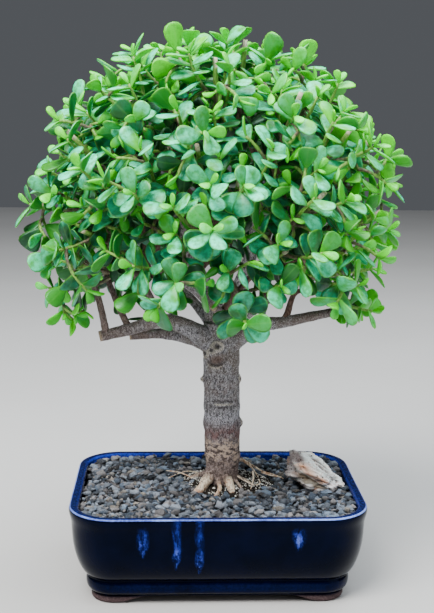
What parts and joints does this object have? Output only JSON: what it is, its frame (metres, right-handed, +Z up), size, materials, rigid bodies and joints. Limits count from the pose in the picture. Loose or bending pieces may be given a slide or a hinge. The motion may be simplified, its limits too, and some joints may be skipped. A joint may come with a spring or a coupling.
{
  "type": "dwarf jade bonsai in a glazed rectangular pot",
  "caption": "Small succulent bonsai: straight bare trunk on exposed roots, domed crown of plump round leaves, in a low footed pot with lava gravel and a pale accent stone",
  "frame": {"origin": "Middle of the whole object's outline seen from above, on the ground that the pot's feet stand on", "axes": "+Z up; X along the pot's long side, with the accent stone towards +X; Y from the front (-Y) to the back (+Y)"},
  "size_m": [0.2664, 0.2474, 0.3829],
  "materials": {
    "glaze": "gloss",
    "screen": "matte",
    "soil": "matte",
    "gravel": "matte",
    "stone": "matte",
    "bark": "matte",
    "leaf": "satin"
  },
  "bodies": {
    "root": {"pot": "glaze", "drain_screen_left": "screen", "drain_screen_right": "screen", "soil": "soil", "lava_gravel": "gravel", "stone": "stone", "trunk_and_branches": "bark", "leafy_spray_01": "leaf", "leafy_spray_02": "leaf", "leafy_spray_03": "leaf", "leafy_spray_04": "leaf", "leafy_spray_05": "leaf", "leafy_spray_06": "leaf", "leafy_spray_07": "leaf", "leafy_spray_08": "leaf", "leafy_spray_09": "leaf", "leafy_spray_10": "leaf", "leafy_spray_11": "leaf", "leafy_spray_12": "leaf", "leafy_spray_13": "leaf", "leafy_spray_14": "leaf", "leafy_spray_15": "leaf", "leafy_spray_16": "leaf", "leafy_spray_17": "leaf", "leafy_spray_18": "leaf", "leafy_spray_19": "leaf", "leafy_spray_20": "leaf", "leafy_spray_21": "leaf", "leafy_spray_22": "leaf", "leafy_spray_23": "leaf", "leafy_spray_24": "leaf", "leafy_spray_25": "leaf", "leafy_spray_26": "leaf", "leafy_spray_27": "leaf", "leafy_spray_28": "leaf", "leafy_spray_29": "leaf", "leafy_spray_30": "leaf", "leafy_spray_31": "leaf", "leafy_spray_32": "leaf", "leafy_spray_33": "leaf", "leafy_spray_34": "leaf", "leafy_spray_35": "leaf", "leafy_spray_36": "leaf", "leafy_spray_37": "leaf", "leafy_spray_38": "leaf", "leafy_spray_39": "leaf", "leafy_spray_40": "leaf"}
  },
  "joints": []
}
